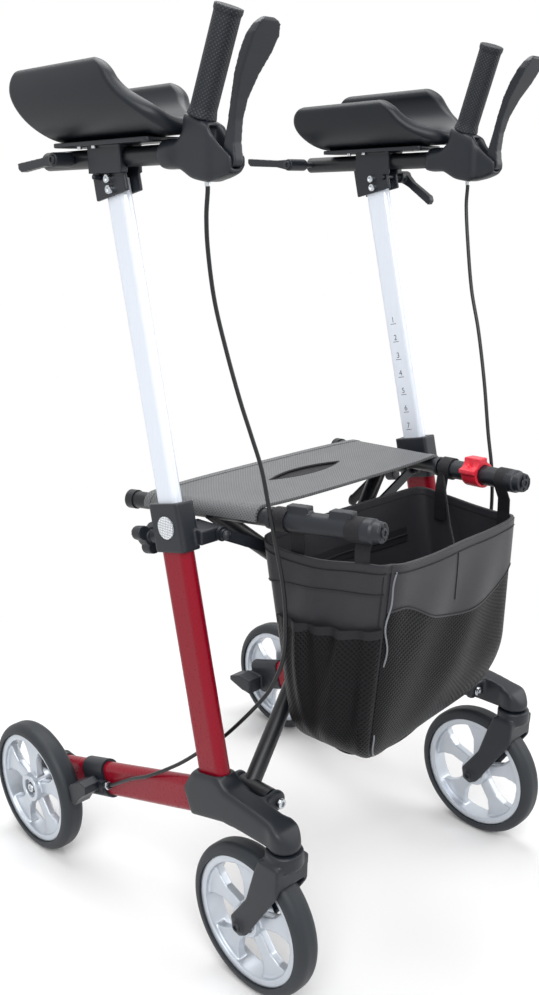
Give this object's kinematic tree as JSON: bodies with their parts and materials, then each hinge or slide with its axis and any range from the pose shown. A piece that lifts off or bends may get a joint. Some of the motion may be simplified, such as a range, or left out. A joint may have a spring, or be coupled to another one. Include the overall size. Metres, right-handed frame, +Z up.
{
  "type": "upright walker",
  "caption": "Folding upright walker with forearm support pads on telescoping posts, hand brakes, swivel front casters, a mesh seat and a hanging bag.",
  "frame": {"origin": "on the ground under the middle of the walker's bounding box", "axes": "+Z up, the front faces -Y, +X towards the user's left"},
  "size_m": [0.594, 0.6859, 1.1508],
  "materials": {
    "red_paint": "gloss metallic red paint on aluminium tube",
    "black_paint": "satin black powder coat on aluminium tube",
    "anodised": "bright satin anodised",
    "zinc": "zinc plated",
    "black_plastic": "fine grained moulding",
    "reflector": "prismatic",
    "tyre": "smooth soft tread",
    "rim_silver": "silver coloured moulding",
    "foam": "moulded skinned foam",
    "grip_rubber": "diamond knurled rubber",
    "cable": "cable sleeve",
    "latch_red": "moulded",
    "seat_mesh": "coated mesh weave",
    "bag_nylon": "woven nylon with mesh pockets"
  },
  "bodies": {
    "frame_r": {"lower_tube_r": "red_paint", "front_casting_r": "black_plastic", "post_tube_r": "red_paint", "collar_r": "black_plastic", "reflector_r": "reflector", "rear_end_r": "black_plastic", "brake_clamp_r": "black_plastic", "brake_cable_r": "cable"},
    "frame_l": {"lower_tube_l": "red_paint", "front_casting_l": "black_plastic", "post_tube_l": "red_paint", "collar_l": "black_plastic", "reflector_l": "reflector", "rear_end_l": "black_plastic", "brake_clamp_l": "black_plastic", "brake_cable_l": "cable"},
    "knob_r": {"height_knob_r": "black_plastic"},
    "brake_arm_r": {"brake_arm_r": "black_plastic"},
    "fork_r": {"caster_fork_r": "black_plastic"},
    "front_wheel_r": {"front_tyre_r": "tyre", "front_rim_r": "rim_silver"},
    "rear_wheel_r": {"rear_tyre_r": "tyre", "rear_rim_r": "rim_silver"},
    "support_r": {"inner_post_r": "anodised", "top_bracket_r": "black_plastic", "bracket_bolts_r": "zinc", "forearm_pad_r": "foam"},
    "handle_r": {"handle_tube_r": "black_paint", "brake_housing_r": "black_plastic", "grip_r": "grip_rubber"},
    "hand_lever_r": {"brake_lever_r": "black_plastic"},
    "stop_r": {"stop_lever_r": "black_plastic"},
    "bracket_clamp_r": {"bracket_lever_r": "black_plastic"},
    "link_r": {"fold_link_r": "black_plastic"},
    "knob_l": {"height_knob_l": "black_plastic"},
    "brake_arm_l": {"brake_arm_l": "black_plastic"},
    "fork_l": {"caster_fork_l": "black_plastic"},
    "front_wheel_l": {"front_tyre_l": "tyre", "front_rim_l": "rim_silver"},
    "rear_wheel_l": {"rear_tyre_l": "tyre", "rear_rim_l": "rim_silver"},
    "support_l": {"inner_post_l": "anodised", "top_bracket_l": "black_plastic", "bracket_bolts_l": "zinc", "forearm_pad_l": "foam"},
    "handle_l": {"handle_tube_l": "black_paint", "brake_housing_l": "black_plastic", "grip_l": "grip_rubber"},
    "hand_lever_l": {"brake_lever_l": "black_plastic"},
    "stop_l": {"stop_lever_l": "black_plastic"},
    "bracket_clamp_l": {"bracket_lever_l": "black_plastic"},
    "link_l": {"fold_link_l": "black_plastic"},
    "cross_r": {"cross_bar_r": "black_paint", "rail_grip_l": "black_plastic", "fold_latch": "latch_red"},
    "cross_l": {"cross_bar_l": "black_paint", "rail_grip_r": "black_plastic"},
    "hammock": {"seat": "seat_mesh", "bag": "bag_nylon", "bag_loops": "bag_nylon"}
  },
  "joints": [
    {"name": "fold", "type": "hinge", "parent": "frame_r", "child": "cross_r", "pos_m": [-0.207, -0.188, 0.25], "axis": [0, -1, 0], "range_deg": [0, 30], "deforming": ["seat", "bag", "bag_loops"]},
    {"name": "cross_pivot", "type": "hinge", "parent": "cross_r", "child": "cross_l", "pos_m": [0, -0.13015, 0.42993], "axis": [0, -1, 0], "range_deg": [-60.5, 0.5]},
    {"name": "left_side", "type": "hinge", "parent": "cross_l", "child": "frame_l", "pos_m": [0.207, -0.188, 0.25], "axis": [0, -1, 0], "range_deg": [-0.5, 30.5]},
    {"name": "seat_lift", "type": "slide", "parent": "frame_r", "child": "hammock", "axis": [-0.6184, 0, 0.7859], "range_m": [-0.001, 0.1913]},
    {"name": "link_turn_r", "type": "hinge", "parent": "frame_r", "child": "link_r", "pos_m": [-0.2, -0.10913, 0.572], "axis": [0, -1, 0], "range_deg": [-1, 96.52]},
    {"name": "caster_r", "type": "hinge", "parent": "frame_r", "child": "fork_r", "pos_m": [-0.242, -0.271, 0.21], "axis": [0, 0, 1], "continuous": true},
    {"name": "front_roll_r", "type": "hinge", "parent": "fork_r", "child": "front_wheel_r", "pos_m": [-0.242, -0.215, 0.1], "axis": [1, 0, 0], "continuous": true},
    {"name": "rear_roll_r", "type": "hinge", "parent": "frame_r", "child": "rear_wheel_r", "pos_m": [-0.263, 0.243, 0.1], "axis": [1, 0, 0], "continuous": true},
    {"name": "height_r", "type": "slide", "parent": "frame_r", "child": "support_r", "axis": [0.0105, 0.2011, 0.9795], "range_m": [-0.17, 0.02], "deforming": ["brake_cable_r"]},
    {"name": "knob_turn_r", "type": "hinge", "parent": "frame_r", "child": "knob_r", "pos_m": [-0.23739, -0.08778, 0.56792], "axis": [0, 0.9796, -0.2011], "continuous": true},
    {"name": "reach_r", "type": "slide", "parent": "support_r", "child": "handle_r", "axis": [0, -1, 0], "range_m": [0, 0.03]},
    {"name": "stop_turn_r", "type": "hinge", "parent": "handle_r", "child": "stop_r", "pos_m": [-0.236, 0.067, 1.008], "axis": [-1, 0, 0], "range_deg": [0, 60]},
    {"name": "clamp_turn_r", "type": "hinge", "parent": "support_r", "child": "bracket_clamp_r", "pos_m": [-0.236, 0.013, 0.987], "axis": [-1, 0, 0], "range_deg": [0, 60]},
    {"name": "brake_squeeze_r", "type": "hinge", "parent": "handle_r", "child": "hand_lever_r", "pos_m": [-0.234, -0.205, 0.999], "axis": [-1, 0, 0], "range_deg": [0, 15], "stiffness_Nm_per_rad": 2, "springref_deg": -5.73},
    {"name": "brake_press_r", "type": "hinge", "parent": "frame_r", "child": "brake_arm_r", "pos_m": [-0.25, 0.129, 0.138], "axis": [1, 0, 0], "range_deg": [-0.2, 4.2]},
    {"name": "link_turn_l", "type": "hinge", "parent": "frame_l", "child": "link_l", "pos_m": [0.2, -0.08513, 0.572], "axis": [0, 1, 0], "range_deg": [-1, 96.52]},
    {"name": "caster_l", "type": "hinge", "parent": "frame_l", "child": "fork_l", "pos_m": [0.242, -0.271, 0.21], "axis": [0, 0, 1], "continuous": true},
    {"name": "front_roll_l", "type": "hinge", "parent": "fork_l", "child": "front_wheel_l", "pos_m": [0.242, -0.215, 0.1], "axis": [1, 0, 0], "continuous": true},
    {"name": "rear_roll_l", "type": "hinge", "parent": "frame_l", "child": "rear_wheel_l", "pos_m": [0.263, 0.243, 0.1], "axis": [1, 0, 0], "continuous": true},
    {"name": "height_l", "type": "slide", "parent": "frame_l", "child": "support_l", "axis": [-0.0105, 0.2011, 0.9795], "range_m": [-0.17, 0.02], "deforming": ["brake_cable_l"]},
    {"name": "knob_turn_l", "type": "hinge", "parent": "frame_l", "child": "knob_l", "pos_m": [0.23739, -0.08778, 0.56792], "axis": [0, 0.9796, -0.2011], "continuous": true},
    {"name": "reach_l", "type": "slide", "parent": "support_l", "child": "handle_l", "axis": [0, -1, 0], "range_m": [0, 0.03]},
    {"name": "stop_turn_l", "type": "hinge", "parent": "handle_l", "child": "stop_l", "pos_m": [0.236, 0.12, 1.008], "axis": [-1, 0, 0], "range_deg": [0, 60]},
    {"name": "clamp_turn_l", "type": "hinge", "parent": "support_l", "child": "bracket_clamp_l", "pos_m": [0.236, -0.027, 0.987], "axis": [1, 0, 0], "range_deg": [0, 60]},
    {"name": "brake_squeeze_l", "type": "hinge", "parent": "handle_l", "child": "hand_lever_l", "pos_m": [0.234, -0.205, 0.999], "axis": [-1, 0, 0], "range_deg": [0, 15], "stiffness_Nm_per_rad": 2, "springref_deg": -5.73},
    {"name": "brake_press_l", "type": "hinge", "parent": "frame_l", "child": "brake_arm_l", "pos_m": [0.25, 0.129, 0.138], "axis": [1, 0, 0], "range_deg": [-0.2, 4.2]}
  ],
  "couplings": [
    {"joint": "cross_pivot", "follows": "fold", "ratio": -2},
    {"joint": "left_side", "follows": "fold", "ratio": 1},
    {"joint": "seat_lift", "follows": "fold", "m_per_rad": 0.36352},
    {"joint": "link_turn_r", "follows": "fold", "ratio": 3.1839},
    {"joint": "brake_press_r", "follows": "brake_squeeze_r", "ratio": 0.26667},
    {"joint": "link_turn_l", "follows": "fold", "ratio": 3.1839},
    {"joint": "brake_press_l", "follows": "brake_squeeze_l", "ratio": 0.26667}
  ]
}
